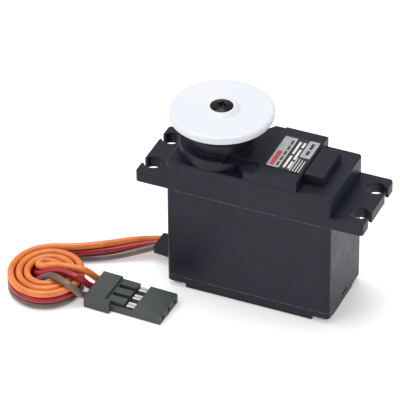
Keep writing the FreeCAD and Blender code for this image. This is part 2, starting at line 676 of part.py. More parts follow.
def ball_bearing():
    bottom, top = cell("bearing_bottom"), cell("bearing_top")
    turned_body("bearing_inner_ring", [
        (cell("shaft_radius"), bottom), (cell("race_inner"), bottom),
        (cell("race_inner"), top), (cell("shaft_radius"), top)], cell("output_x"))
    turned_body("bearing_outer_ring", [
        (cell("race_outer"), bottom), (cell("bearing_radius"), bottom),
        (cell("bearing_radius"), top), (cell("race_outer"), top)], cell("output_x"))
    middle = "(Sizes.bearing_bottom + Sizes.bearing_top) / 2"
    for body in nodes[-2:]:
        sketch = add_sketch(body, "XZ_Plane")
        add_circle(sketch, cell("ball_pitch_radius"), middle,
                   "Sizes.ball_radius + Sizes.groove_slack")
        groove = body.newObject("PartDesign::Groove", "Groove")
        groove.Profile = sketch
        groove.ReferenceAxis = (sketch, ["V_Axis"])
        groove.Angle = 360
    # a crown over the balls, hollowed where each of them sits
    low = "%s + Sizes.cage_lift" % middle
    cage = cut(*[cylinder(cell("output_x"), "0", low, radius, cell("cage_height"))
                 for radius in ("Sizes.race_outer - Sizes.cage_gap",
                                "Sizes.race_inner + Sizes.cage_gap")])
    balls = []
    for index in range(BALLS):
        angle = 360.0 / BALLS * index
        ball, hollow = [document.addObject("Part::Sphere", "Ball") for part in range(2)]
        ball.setExpression("Radius", cell("ball_radius"))
        hollow.setExpression("Radius", "Sizes.ball_radius + Sizes.running_gap")
        for item in (ball, hollow):
            place_at(item, "Sizes.output_x + Sizes.ball_pitch_radius * cos(%g deg)" % angle,
                     "Sizes.ball_pitch_radius * sin(%g deg)" % angle, middle)
        cage = cut(cage, hollow)
        balls.append(ball)
    keep(cage, "bearing_cage")
    group("bearing_balls", balls)


def is_round_edge(radius):
    """Test for whole circles of one radius."""
    def test(edge):
        return len(edge.Vertexes) == 1 and abs(edge.BoundBox.XLength - 2 * radius) < 0.02
    return test


def horn():
    """Round disc with a hub below, and a low boss above that the screw's head sinks into."""
    body = turned_body("horn", [
        ("Sizes.shaft_radius", cell("horn_hub_bottom")),
        (cell("horn_hub_radius"), cell("horn_hub_bottom")),
        (cell("horn_hub_radius"), cell("horn_bottom")),
        (cell("horn_radius"), cell("horn_bottom")), (cell("horn_radius"), cell("horn_top")),
        (cell("horn_boss_radius"), cell("horn_top")),
        (cell("horn_boss_top_radius"), cell("horn_boss_top")),
        (cell("horn_recess_radius"), cell("horn_boss_top")),
        (cell("horn_recess_radius"), cell("horn_recess_bottom")),
        (cell("horn_bore_radius"), cell("horn_recess_bottom")),
        (cell("horn_bore_radius"), cell("spline_top")),
        (cell("shaft_radius"), cell("spline_top"))], cell("output_x"))
    dress(body, "Fillet", cell("horn_rim"), is_round_edge(size("horn_radius")))
    dress(body, "Fillet", cell("horn_boss_break"), is_round_edge(size("horn_boss_top_radius")))
    dress(body, "Fillet", cell("horn_boss_break"), is_round_edge(size("horn_boss_radius")))


def horn_screw():
    """Black screw: a crowned head with a cross recess, and a shank down into the shaft."""
    x = cell("output_x")
    low = cell("horn_recess_bottom")
    crown = "((Sizes.horn_screw_radius ^ 2 + Sizes.horn_screw_crown ^ 2) / 2 / Sizes.horn_screw_crown)"
    ball = document.addObject("Part::Sphere", "Crown")
    ball.setExpression("Radius", crown)
    place_at(ball, x, "0", "Sizes.horn_screw_top - " + crown)
    head = document.addObject("Part::Common", "Head")
    head.Base = cylinder(x, "0", low, cell("horn_screw_radius"),
                         "Sizes.horn_screw_top - Sizes.horn_recess_bottom")
    head.Tool = ball
    bottom = cell("horn_screw_bottom")
    shank = cylinder(x, "0", bottom, cell("horn_screw_shank"),
                     "Sizes.horn_recess_bottom - Sizes.horn_screw_bottom")
    long, short = cell("horn_cross_length"), cell("horn_cross_width")
    floor = "Sizes.horn_screw_top - Sizes.horn_cross_depth"
    keep(cut(fuse(head, shank), box(x, "0", floor, long, short, cell("horn_cross_depth")),
             box(x, "0", floor, short, long, cell("horn_cross_depth"))), "horn_screw")


# ---------------------------------------------------------------- motor, sensor and board

def both_sides(place, maker):
    """Make one thing on each side of the motor's axis."""
    return [maker(sign + place) for sign in ("", "-")]


def motor_can():
    inner = "(Sizes.can_radius - Sizes.can_wall)"
    bore = "Sizes.motor_shaft_radius + Sizes.running_gap"
    top, boss_top = cell("partition_bottom"), cell("motor_boss_top")
    under = "Sizes.partition_bottom - Sizes.can_end"
    body = turned_body("motor_can", [
        (inner, cell("can_bottom")), (cell("can_radius"), cell("can_bottom")),
        (cell("can_radius"), top), (cell("motor_boss_radius"), top),
        (cell("motor_boss_radius"), boss_top), (bore, boss_top), (bore, under), (inner, under)],
        cell("motor_x"))
    holes = both_sides(cell("motor_screw_y"), lambda y: ("0", y, cell("motor_screw_radius")))
    pocket_circles(body, holes, top, "Sizes.can_end + Sizes.over_cut")
    turned_body("motor_end_cap", [
        (bore, cell("end_cap_bottom")), (inner, cell("end_cap_bottom")),
        (inner, cell("end_cap_top")), (bore, cell("end_cap_top"))], cell("motor_x"))


def motor_rotor():
    """Shaft, commutator and the slotted iron that turn together."""
    x = cell("motor_x")
    shaft = cell("motor_shaft_radius")
    turned_body("motor_shaft", [
        ("0", cell("motor_shaft_bottom")), (shaft, cell("motor_shaft_bottom")),
        (shaft, cell("motor_shaft_top")), ("0", cell("motor_shaft_top"))], x)
    turned_body("motor_commutator", [
        (shaft, cell("commutator_bottom")), (cell("commutator_radius"), cell("commutator_bottom")),
        (cell("commutator_radius"), cell("commutator_top")), (shaft, cell("commutator_top"))], x)
    low, high = cell("armature_bottom"), cell("armature_height")
    poles = cut(cylinder(x, "0", low, cell("armature_radius"), high),
                cylinder(x, "0", low, shaft, high))
    for index in range(POLES):
        slot = box("0", "0", low, cell("armature_slot_length"), cell("armature_slot_width"), high)
        angle = 360 / POLES * index
        slot.Placement.Rotation = FreeCAD.Rotation(UP, angle)
        along = "Sizes.armature_slot_start * %s(%g deg)"
        aside = "Sizes.armature_slot_width / 2 * %s(%g deg)"
        place_at(slot, "Sizes.motor_x + %s + %s" % (along % ("cos", angle), aside % ("sin", angle)),
                 "%s - %s" % (along % ("sin", angle), aside % ("cos", angle)), low)
        poles = cut(poles, slot)
    keep(poles, "motor_armature")


def motor_field():
    """Two curved magnets, and the brushes and terminals that feed the commutator."""
    x = cell("motor_x")
    low, high = cell("magnet_bottom"), cell("magnet_height")
    hollow = cut(cylinder(x, "0", low, cell("magnet_outer"), high),
                 cylinder(x, "0", low, cell("magnet_inner"), high))
    gap = box(x, "0", low, "2 * Sizes.magnet_outer + 1", cell("magnet_gap"), high)
    keep(cut(hollow, gap), "motor_magnets")
    side = cell("brush_side")
    group("motor_brushes", both_sides("Sizes.brush_x", lambda offset: box(
        x + " + " + offset, "0", cell("brush_bottom"), cell("brush_length"), side, side)))
    tall = "Sizes.end_cap_bottom - Sizes.terminal_bottom"
    group("motor_terminals", both_sides("Sizes.terminal_x", lambda offset: box(
        x + " + " + offset, "0", cell("terminal_bottom"), cell("terminal_thickness"),
        cell("terminal_width"), tall)))


def motor_screw(y):
    """Short screw through the partition into the end of the can."""
    x = cell("motor_x")
    seam, tall = cell("case_seam"), cell("motor_screw_head_height")
    head = cylinder(x, y, seam, cell("motor_screw_head_radius"), tall)
    shank = cylinder(x, y, cell("motor_screw_bottom"), cell("motor_screw_radius"),
                     "Sizes.case_seam - Sizes.motor_screw_bottom")
    deep = cell("motor_screw_slot_depth")
    slot = box(x, y, "%s + %s - %s" % (seam, tall, deep), "2 * Sizes.motor_screw_head_radius",
               cell("motor_screw_slot_width"), deep)
    return cut(fuse(head, shank), slot)


def potentiometer():
    x = cell("output_x")
    bore = "Sizes.pot_shaft_radius + Sizes.running_gap"
    turned_body("potentiometer_body", [
        ("0", cell("pot_bottom")), (cell("pot_radius"), cell("pot_bottom")),
        (cell("pot_radius"), cell("pot_top")), (cell("pot_neck_radius"), cell("pot_top")),
        (cell("pot_neck_radius"), cell("partition_bottom")), (bore, cell("partition_bottom")),
        (bore, cell("pot_floor")), ("0", cell("pot_floor"))], x)
    shaft = cell("pot_shaft_radius")
    turned_body("potentiometer_shaft", [
        ("0", cell("pot_shaft_bottom")), (shaft, cell("pot_shaft_bottom")),
        (shaft, cell("pot_shaft_top")), ("0", cell("pot_shaft_top"))], x)
    low = cell("terminal_bottom")
    group("potentiometer_pins", [
        box(x, "%d * Sizes.pot_pin_pitch" % place, low, cell("pot_pin_thickness"),
            cell("pot_pin_width"), "Sizes.pot_bottom - " + low) for place in (-1, 0, 1)])


def circuit_board():
    board = box("0", "0", cell("board_bottom"), "2 * Sizes.board_half_length",
                "2 * Sizes.board_half_width", cell("board_thickness"))
    keep(board, "circuit_board")
    top = "Sizes.board_bottom + Sizes.board_thickness"
    chips = []
    for level, places in (("Sizes.board_bottom - %g", CHIPS_UNDER), (top, CHIPS_ON_TOP)):
        for x, y, length, width, height in places:
            chips.append(box(str(x), str(y), level % height if "%" in level else level,
                             str(length), str(width), str(height)))
    x, y, radius, height = CAPACITOR
    chips.append(cylinder(str(x), str(y), top, str(radius), str(height)))
    group("board_components", chips)


# ---------------------------------------------------------------- lead, coil and plug

def strain_relief():
    """Tapered sleeve through the end wall with a flange that holds it from inside."""
    body = new_body("strain_relief")
    root = ("-Sizes.relief_root_half_width", "Sizes.relief_root_half_width",
            cell("relief_root_low"), cell("relief_root_high"))
    end = ("-Sizes.relief_half_width", "Sizes.relief_half_width",
           cell("relief_low"), cell("relief_high"))
    sections = []
    for level, sides in (("-" + INSIDE_LENGTH, root), ("-" + HALF_LENGTH, root),
                         (cell("relief_end"), end)):
        section = add_sketch(body, "YZ_Plane", level)
        add_rectangle(section, *sides)
        sections.append(section)
    loft = body.newObject("PartDesign::AdditiveLoft", "AdditiveLoft")
    loft.Profile = sections[0]
    loft.Sections = sections[1:]
    loft.Ruled = True
    document.recompute()
    flange = add_sketch(body, "YZ_Plane", "-" + INSIDE_LENGTH)
    add_rectangle(flange, "-Sizes.relief_flange_half_width", cell("relief_flange_half_width"),
                  cell("relief_flange_low"), cell("relief_flange_high"))
    add_feature(body, "Pad", flange, cell("relief_flange_thickness"))


def rounded_route(route):
    """Straight runs joined by tangent arcs, each as large as its two runs allow."""
    edges = []
    radii = []
    start = route[0]
    for before, corner, after in zip(route, route[1:], route[2:]):
        turn = (corner - before).getAngle(after - corner)
        reach = 0.45 * min((corner - before).Length, (after - corner).Length)
        radius = reach / math.tan(turn / 2)
        incoming = (corner - before).normalize()
        outgoing = (after - corner).normalize()
        first = corner - incoming * reach
        last = corner + outgoing * reach
        inward = (outgoing - incoming).normalize()
        depth = radius / math.cos(turn / 2) - radius
        edges.append(Part.LineSegment(start, first).toShape())
        edges.append(Part.Arc(first, corner + inward * depth, last).toShape())
        radii.append(radius)
        start = last
    edges.append(Part.LineSegment(start, route[-1]).toShape())
    return Part.Wire(edges), radii


def wire_tube(label, route):
    """One round wire along its route, checked against its section times its length."""
    path, radii = rounded_route([Vector(*point) for point in route])
    radius = size("wire_diameter") / 2 - 0.01
    heading = path.Edges[0].tangentAt(path.Edges[0].FirstParameter)
    section = Part.Wire(Part.Circle(Vector(*route[0]), heading, radius).toShape())
    tube = path.makePipeShell([section], True, False)
    expected = math.pi * radius ** 2 * path.Length
    if abs(tube.Volume / expected - 1) > 0.01:
        raise RuntimeError("%s has a volume of %.2f, not %.2f" % (label, tube.Volume, expected))
    item = document.addObject("Part::Feature", "Feature_" + label)
    item.Shape = tube
    keep(item, label)
    print("%s: length %.1f, radii %s" % (label, path.Length,
                                         " ".join("%.1f" % radius for radius in radii)))


# The ribbon's centre line and, at each point, the way from its middle wire to the signal
# wire: across (0, 1) where the ribbon lies flat and up (1, 0) where it stands on edge.
RIBBON_OUT = [
    ((-25.8, 0.0, 3.1), (0.0, 1.0, 0.0)),
    ((-30.0, -2.4, 2.8), (-0.1, 0.85, 0.52)),
    ((-34.6, -5.7, 2.5), (-0.15, 0.5, 0.85)),
    ((-39.5, -8.6, 2.42), (0.0, 0.25, 0.97)),
    ((-43.7, -10.2, 2.42), (0.0, 0.0, 1.0)),
    ((-48.0, -10.9, 2.42), (0.0, 0.0, 1.0)),
]
RIBBON_BACK = [
    ((-46.6, -21.6, 3.9), (0.15, 0.85, 0.45)),
    ((-43.6, -21.9, 5.4), (0.05, 1.0, 0.25)),
    ((-40.2, -21.3, 5.7), (0.0, 1.15, 0.0)),
    ((-37.2, -20.2, 5.0), (0.1, 1.35, 0.0)),
    ((-35.0, -19.1, 2.9), (0.05, 1.7, 0.0)),
    ((-33.1, -18.85, 1.6), (0.06, 1.94, 0.0)),
]
WIRES = {"signal": 1, "power": 0, "ground": -1}


def lead():
    spacing = size("wire_diameter")
    for stretch, ribbon in (("near", RIBBON_OUT), ("far", RIBBON_BACK)):
        for wire, side in WIRES.items():
            route = [tuple(c + side * spacing * a for c, a in zip(centre, across))
                     for centre, across in ribbon]
            wire_tube("%s_wire_%s" % (wire, stretch), route)
    outline = document.addObject("Part::Ellipse", "Ellipse")
    outline.setExpression("MajorRadius", cell("coil_half_y"))
    outline.setExpression("MinorRadius", cell("coil_half_x"))
    outline.Placement.Rotation = FreeCAD.Rotation(UP, 90)
    place_at(outline, cell("coil_x"), cell("coil_y"), "0")
    coil = document.addObject("Part::Extrusion", "Extrusion")
    coil.Base = outline
    coil.Dir = UP
    coil.setExpression("LengthFwd", cell("coil_height"))
    coil.Solid = True
    keep(coil, "lead_coil")


def place_plug(item):
    """Lay a piece of the plug, made along +X from its rear end, where the plug lies."""
    item.Placement.Rotation = FreeCAD.Rotation(UP, size("plug_turn"))
    place_at(item, cell("plug_rear"), cell("plug_y"), "0")


def across_plug(low, high):
    """Sides of a rectangle over the window zone of the plug, between two places across it."""
    return (cell("slot_start"), cell("window_end"), low, high)


def plug_housing():
    """Flat three-way socket: a thicker end with a key on one side, three latch fingers."""
    body = new_body("plug_housing")
    place_plug(body)
    side = "Sizes.plug_width / 2"
    key = side + " + Sizes.key_width"
    wall = side + " - Sizes.bay_wall"
    pad_rectangle(body, ("0", cell("plug_length"), "-" + side, side), None, cell("plug_height"))
    pad_rectangle(body, ("0", cell("plug_rear_length"), "-" + side, side), None,
                  cell("plug_rear_height"))
    pad_rectangle(body, ("0", cell("key_length"), "-(" + key + ")", "-(" + side + ")"), None,
                  cell("plug_rear_height"))
    dress(body, "Chamfer", cell("plug_edge_break"),
          lambda edge: edge.BoundBox.ZMin > size("plug_height") - 0.01 and edge.Length > 1.5)
    # slots between the fingers, then the low wall and the open side beside them
    for place in (-1, 0, 1):
        finger = "%d * Sizes.contact_pitch + Sizes.finger_offset" % place
        low = finger + " - Sizes.contact_pitch + Sizes.finger_width / 2"
        if place == -1:
            low = "-(" + wall + ")"
        pocket_rectangle(body, across_plug(low, finger + " - Sizes.finger_width / 2"),
                         cell("plug_height"), "Sizes.plug_height - Sizes.slot_floor")
    pocket_rectangle(body, (cell("key_length"), cell("window_end"), "-(" + side + ")",
                            "-(" + wall + ")"), cell("plug_height"),
                     "Sizes.plug_height - Sizes.bay_wall_height")
    pocket_rectangle(body, (cell("finger_end"), cell("window_end"), "-(" + wall + ")", side),
                     cell("plug_height"), "Sizes.plug_height - Sizes.bay_floor")
    sketch = add_sketch(body, "YZ_Plane", cell("plug_length"))
    for place in (-1, 0, 1):
        middle = "%d * Sizes.contact_pitch" % place
        add_rectangle(sketch, middle + " - Sizes.contact_hole / 2",
                      middle + " + Sizes.contact_hole / 2",
                      "Sizes.plug_height / 2 - Sizes.contact_hole / 2",
                      "Sizes.plug_height / 2 + Sizes.contact_hole / 2")
    add_feature(body, "Pocket", sketch, cell("contact_hole_depth"))


def plug_contacts():
    """Two bright bars of each crimped contact, seen in front of its finger."""
    pairs = []
    middle_x = "Sizes.window_end - Sizes.bar_length / 2 - Sizes.bar_clearance"
    for place in (-1, 0, 1):
        y = "%d * Sizes.contact_pitch" % place
        spread = "(Sizes.bar_width + Sizes.bar_gap)"
        plate = box(middle_x, y, cell("bay_floor"), cell("bar_length"),
                    spread + " + Sizes.bar_width", cell("contact_plate"))
        bars = [box(middle_x, y + " %s %s / 2" % (sign, spread), cell("bay_floor"),
                    cell("bar_length"), cell("bar_width"), cell("bar_height"))
                for sign in ("+", "-")]
        pairs.append(fuse(plate, *bars))
    place_plug(group("plug_contacts", pairs))


# ---------------------------------------------------------------- assembly

bottom_cover()
middle_case()
upper_case()
group("case_screws", [case_screw(x, y) for x, y in SCREW_PLACES])
pin("idler_pin", "idler_x")
pin("upper_pin", "motor_x")
shaft_bush()
gear_train()
output_gear()
ball_bearing()
horn()
horn_screw()
motor_can()
motor_rotor()
motor_field()
group("motor_screws", both_sides(cell("motor_screw_y"), motor_screw))
potentiometer()
circuit_board()
label_plate()
strain_relief()
lead()
plug_housing()
plug_contacts()

document.recompute()
for item in document.Objects:
    if "Invalid" in item.State or "Error" in item.State:
        raise RuntimeError("%s (%s) did not compute" % (item.Name, item.Label))
for item in nodes:
    if item.Shape.isNull() or not item.Shape.isValid() or not item.Shape.Solids:
        raise RuntimeError("%s has no valid solid" % item.Label)

os.makedirs("parts", exist_ok=True)
for item in nodes:
    item.Shape.exportStep(os.path.join("parts", item.Label + ".step"))
print("%d sub-parts written" % len(nodes))
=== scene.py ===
"""Looks of the servo motor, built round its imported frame. Lengths are in millimetres and are
turned into metres by MM; places on the case come from the frame's own boxes."""
import json
import math

import bmesh
import bpy
from mathutils import Matrix, Vector


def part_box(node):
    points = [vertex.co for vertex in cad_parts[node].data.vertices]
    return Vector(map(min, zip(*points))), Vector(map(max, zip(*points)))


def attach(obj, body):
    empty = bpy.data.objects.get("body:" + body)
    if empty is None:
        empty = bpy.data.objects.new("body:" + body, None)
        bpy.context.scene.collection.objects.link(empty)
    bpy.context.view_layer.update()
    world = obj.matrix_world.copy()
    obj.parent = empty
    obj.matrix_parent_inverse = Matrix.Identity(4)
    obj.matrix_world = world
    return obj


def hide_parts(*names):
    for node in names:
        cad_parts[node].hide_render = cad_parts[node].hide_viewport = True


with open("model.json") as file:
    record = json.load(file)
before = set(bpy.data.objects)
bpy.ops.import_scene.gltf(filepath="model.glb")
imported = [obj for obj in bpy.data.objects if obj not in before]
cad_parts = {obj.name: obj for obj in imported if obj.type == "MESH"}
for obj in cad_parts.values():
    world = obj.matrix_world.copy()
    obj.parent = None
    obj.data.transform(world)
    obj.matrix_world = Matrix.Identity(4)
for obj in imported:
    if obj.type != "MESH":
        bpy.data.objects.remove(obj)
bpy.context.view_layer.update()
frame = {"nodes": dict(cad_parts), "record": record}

MM = 0.001
NODES = frame["nodes"]
HOUSING = "housing"


# ------------------------------------------------------------------ camera

CAMERA_PLACE = Vector((258.3, -625.2, 515.9)) * MM
CAMERA_YAW = math.radians(23.65)
CAMERA_PITCH = math.radians(36.11)
CAMERA_ROLL = math.radians(-0.52)
CAMERA_LENS_MM = 340.1
CAMERA_SENSOR_MM = 36.0
CAMERA_NEAREST = 0.05


def make_camera():
    data = bpy.data.cameras.new("camera")
    data.lens = CAMERA_LENS_MM
    data.sensor_width = CAMERA_SENSOR_MM
    data.clip_start = CAMERA_NEAREST
    camera = bpy.data.objects.new("camera", data)
    bpy.context.scene.collection.objects.link(camera)
    tilt = math.pi / 2 - CAMERA_PITCH
    turn = (Matrix.Rotation(CAMERA_YAW, 3, "Z") @ Matrix.Rotation(tilt, 3, "X")
            @ Matrix.Rotation(CAMERA_ROLL, 3, "Z"))
    camera.matrix_world = Matrix.Translation(CAMERA_PLACE) @ turn.to_4x4()
    bpy.context.scene.camera = camera


# ------------------------------------------------------------------ lead

WIRE_DIAMETER = 1.6
WIRES = {"signal": 1, "power": 0, "ground": -1}

# Points of the ribbon's middle wire, each with the way from it to the signal wire: along y
# where the ribbon lies flat, at the strain relief, and along z where it stands on edge.
RIBBON_OUT = [
    ((-25.8, 0.0, 3.1), (0.0, 1.0, 0.0)),
    ((-30.0, -2.4, 2.8), (-0.1, 0.85, 0.52)),
    ((-34.6, -5.7, 2.5), (-0.15, 0.5, 0.85)),
    ((-39.5, -8.6, 2.42), (0.0, 0.25, 0.97)),
    ((-43.2, -10.3, 2.42), (0.0, 0.0, 1.0)),
]
# The coil is a flat oval spiral: angles in degrees, half sizes where the angle is
# COIL_SIZED_AT, and how much they shrink with each turn.
COIL_CENTRE = (-43.8, -20.6)
COIL_START = 108.0
COIL_END = 1170.0
COIL_STEPS = 45
COIL_SIZED_AT = 90.0
COIL_HALF_X, COIL_HALF_Y = 9.05, 9.65
COIL_PITCH_X, COIL_PITCH_Y = 1.85, 1.95
COIL_LEVEL = 2.42
# Inside the coil each wire turns back, climbs over the turns to the right and drops behind
# the plug, so from there on it has points of its own.
TAILS = {
    "signal": [(-45.1, -17.0, 4.1), (-46.3, -17.6, 4.25), (-46.8, -18.9, 4.5), (-46.4, -20.2, 4.8),
               (-45.2, -20.7, 5.1), (-43.5, -19.95, 5.5), (-41.5, -19.4, 5.65), (-39.6, -19.1, 5.65),
               (-37.6, -18.9, 5.65), (-36.0, -18.7, 5.55), (-34.9, -18.0, 4.6), (-34.1, -17.0, 3.0),
               (-33.4, -16.2, 1.8), (-32.5, -15.75, 1.5)],
    "power": [(-45.1, -17.0, 2.5), (-46.3, -17.7, 2.55), (-46.8, -19.1, 2.65), (-46.7, -20.6, 2.95),
              (-45.8, -21.7, 3.5), (-44.2, -21.6, 4.3), (-42.3, -21.2, 5.2), (-39.8, -21.1, 5.65),
              (-37.7, -21.6, 5.7), (-36.1, -21.8, 5.7), (-34.9, -21.3, 4.7), (-34.1, -20.3, 2.9),
              (-33.4, -19.2, 1.8), (-32.5, -18.85, 1.5)],
    "ground": [(-45.1, -17.0, 0.85), (-46.3, -17.7, 0.9), (-46.9, -19.3, 0.9), (-47.0, -21.1, 1.1),
               (-46.3, -22.6, 1.9), (-44.8, -23.1, 3.2), (-42.9, -23.1, 4.9), (-40.8, -23.6, 5.75),
               (-38.6, -24.4, 5.7), (-36.7, -25.0, 5.6), (-35.4, -25.0, 4.8), (-34.5, -24.4, 3.3),
               (-33.7, -22.9, 1.9), (-32.5, -21.95, 1.5)],
}


def coil_points(side):
    """Flat spiral of the ribbon on edge, wound inwards."""
    points = []
    for step in range(COIL_STEPS + 1):
        degrees = COIL_START + (COIL_END - COIL_START) * step / COIL_STEPS
        angle = math.radians(degrees)
        turns = (degrees - COIL_SIZED_AT) / 360.0
        half_x = COIL_HALF_X - COIL_PITCH_X * turns
        half_y = COIL_HALF_Y - COIL_PITCH_Y * turns
        points.append(Vector((COIL_CENTRE[0] + half_x * math.cos(angle),
                              COIL_CENTRE[1] + half_y * math.sin(angle),
                              COIL_LEVEL + side * WIRE_DIAMETER)))
    return points


def wire_points(name):
    """Control points of one wire, in millimetres."""
    side = WIRES[name]
    start = [Vector(centre) + Vector(across) * (side * WIRE_DIAMETER)
             for centre, across in RIBBON_OUT]
    return start + coil_points(side) + [Vector(point) for point in TAILS[name]]


def make_wire(name):
    """One round wire along an open NURBS spline that ends on its first and last points."""
    curve = bpy.data.curves.new("lead_" + name, "CURVE")
    curve.dimensions = "3D"
    curve.resolution_u = 10
    curve.bevel_depth = 1.0
    curve.bevel_resolution = 7
    curve.use_fill_caps = True
    points = wire_points(name)
    spline = curve.splines.new("NURBS")
    spline.points.add(len(points) - 1)
    for place, point in zip(spline.points, points):
        place.co = (*(point * MM), 1.0)
        place.radius = WIRE_DIAMETER / 2 * MM
    spline.order_u = 3
    spline.use_endpoint_u = True
    wire = bpy.data.objects.new("lead_" + name, curve)
    bpy.context.scene.collection.objects.link(wire)
    return wire


def make_lead():
    """Three fused wires from the strain relief to the plug."""
    for name in WIRES:
        wire = make_wire(name)
        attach(wire, HOUSING)
        replaced = [name + "_wire_near", name + "_wire_far"]
        if name == "signal":
            replaced.append("lead_coil")
        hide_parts(*replaced)
        wire.data.materials.append(MATERIALS["wire_" + name])


# ------------------------------------------------------------------ materials

class Recipe:
    """A material's node tree, with short ways to add to it. Texture space is in millimetres."""

    def __init__(self, name, colour, roughness, metallic=0.0):
        self.material = bpy.data.materials.new(name)
        self.material.use_nodes = True
        self.tree = self.material.node_tree
        self.shader = self.tree.nodes["Principled BSDF"]
        self.shader.inputs["Base Color"].default_value = (*colour, 1.0)
        self.shader.inputs["Roughness"].default_value = roughness
        self.shader.inputs["Metallic"].default_value = metallic
        coordinates = self.add("ShaderNodeTexCoord")
        self.space = self.add("ShaderNodeMapping")
        self.space.inputs["Scale"].default_value = [1.0 / MM] * 3
        self.link(coordinates.outputs["Object"], self.space.inputs["Vector"])
        self.colour = colour
        self.colour_end = None
        self.bump_end = None

    def add(self, kind, **inputs):
        node = self.tree.nodes.new(kind)
        for name, value in inputs.items():
            node.inputs[name.replace("_", " ")].default_value = value
        return node

    def link(self, source, target):
        self.tree.links.new(source, target)

    def set(self, **values):
        """Set shader inputs, each named after its label with _ for a space."""
        for name, value in values.items():
            self.shader.inputs[name.replace("_", " ")].default_value = value

    def noise(self, per_mm, detail, stretch=None):
        """Noise of so many features per millimetre, stretched along the axes if asked."""
        node = self.add("ShaderNodeTexNoise", Scale=per_mm, Detail=detail)
        space = self.space
        if stretch:
            space = self.add("ShaderNodeMapping")
            space.inputs["Scale"].default_value = [part / MM for part in stretch]
            self.link(self.tree.nodes["Texture Coordinate"].outputs["Object"],
                      space.inputs["Vector"])
        self.link(space.outputs["Vector"], node.inputs["Vector"])
        return node.outputs["Fac"]

    def ramp(self, source, low, high, from_low=0.3, from_high=0.7):
        """Carry the source's middle range over to low..high."""
        node = self.add("ShaderNodeMapRange")
        node.inputs["From Min"].default_value = from_low
        node.inputs["From Max"].default_value = from_high
        node.inputs["To Min"].default_value = low
        node.inputs["To Max"].default_value = high
        self.link(source, node.inputs["Value"])
        return node.outputs["Result"]

    def height(self):
        """Height in millimetres above the floor, for objects that stand in the frame's place."""
        split = self.add("ShaderNodeSeparateXYZ")
        self.link(self.space.outputs["Vector"], split.inputs["Vector"])
        return split.outputs["Z"]

    def math(self, operation, first, second=0.0):
        """One maths node on an output and a number or another output."""
        node = self.add("ShaderNodeMath")
        node.operation = operation
        self.link(first, node.inputs[0])
        if isinstance(second, float):
            node.inputs[1].default_value = second
        else:
            self.link(second, node.inputs[1])
        return node.outputs["Value"]

    def vary_roughness(self, source, low, high):
        self.link(self.ramp(source, low, high), self.shader.inputs["Roughness"])

    def vary_colour(self, source, other, from_low=0.35, from_high=0.65):
        """Mix another colour over what is there, as far as the source goes up its range."""
        mix = self.add("ShaderNodeMix")
        mix.data_type = "RGBA"
        below, above, mixed = mix.inputs[6], mix.inputs[7], mix.outputs[2]
        if self.colour_end:
            self.link(self.colour_end, below)
        else:
            below.default_value = (*self.colour, 1.0)
        above.default_value = (*other, 1.0)
        self.link(self.ramp(source, 0.0, 1.0, from_low, from_high), mix.inputs["Factor"])
        self.colour_end = mixed
        self.link(mixed, self.shader.inputs["Base Color"])

    def bump(self, source, height_mm, strength):
        """Raise the surface by the source, on top of the bumps already there."""
        node = self.add("ShaderNodeBump", Strength=strength, Distance=height_mm * MM)
        self.link(source, node.inputs["Height"])
        if self.bump_end:
            self.link(self.bump_end, node.inputs["Normal"])
        self.bump_end = node.outputs["Normal"]
        self.link(self.bump_end, self.shader.inputs["Normal"])


def moulded(name, colour, other, roughness, grain_per_mm=7.0, grain=0.006):
    """Moulded plastic with a fine spark-eroded grain and slow changes of sheen."""
    recipe = Recipe(name, colour, roughness)
    recipe.vary_colour(recipe.noise(0.12, 2.0), other)
    recipe.vary_roughness(recipe.noise(0.35, 4.0), roughness - 0.05, roughness + 0.07)
    recipe.bump(recipe.noise(0.22, 1.0), 0.05, 0.25)
    recipe.bump(recipe.noise(grain_per_mm, 2.0), grain, 0.6)
    return recipe


def turned_metal(name, colour, other, roughness):
    """Machined or drawn metal with fine marks round its upright axis."""
    recipe = Recipe(name, colour, roughness, 1.0)
    recipe.vary_colour(recipe.noise(0.6, 3.0), other)
    recipe.vary_roughness(recipe.noise(2.0, 3.0, (0.3, 0.3, 6.0)), roughness - 0.06, roughness + 0.1)
    recipe.bump(recipe.noise(3.0, 2.0, (0.2, 0.2, 8.0)), 0.004, 0.5)
    return recipe


def pressed_metal(name, colour, other, roughness):
    """Plated sheet metal: smooth, with a slow change of sheen."""
    recipe = Recipe(name, colour, roughness, 1.0)
    recipe.vary_colour(recipe.noise(0.5, 2.0), other)
    recipe.vary_roughness(recipe.noise(0.9, 2.0), roughness - 0.05, roughness + 0.08)
    recipe.bump(recipe.noise(1.2, 2.0), 0.01, 0.3)
    return recipe


def vinyl(name, colour, other, clear, coat, coat_roughness):
    """Soft cable vinyl: glossy skin, faint flow lines and a little light under the surface."""
    recipe = Recipe(name, colour, 0.34)
    recipe.vary_colour(recipe.noise(0.25, 3.0), other)
    recipe.vary_roughness(recipe.noise(0.9, 3.0), 0.26, 0.44)
    recipe.bump(recipe.noise(0.8, 2.0), 0.03, 0.35)
    recipe.bump(recipe.noise(9.0, 2.0), 0.003, 0.4)
    recipe.set(Subsurface_Weight=clear, Subsurface_Scale=0.5 * MM,
               Subsurface_Radius=(1.0, 0.6, 0.4), Coat_Weight=coat, Coat_Roughness=coat_roughness)
    return recipe


def brushed_film(name, colour, other, roughness):
    """Dark plastic film with faint marks along it."""
    recipe = Recipe(name, colour, roughness)
    recipe.vary_colour(recipe.noise(0.5, 2.0), other)
    recipe.vary_roughness(recipe.noise(1.5, 2.0, (1.0, 8.0, 1.0)), roughness - 0.04,
                          roughness + 0.06)
    recipe.bump(recipe.noise(0.5, 2.0), 0.02, 0.3)
    return recipe


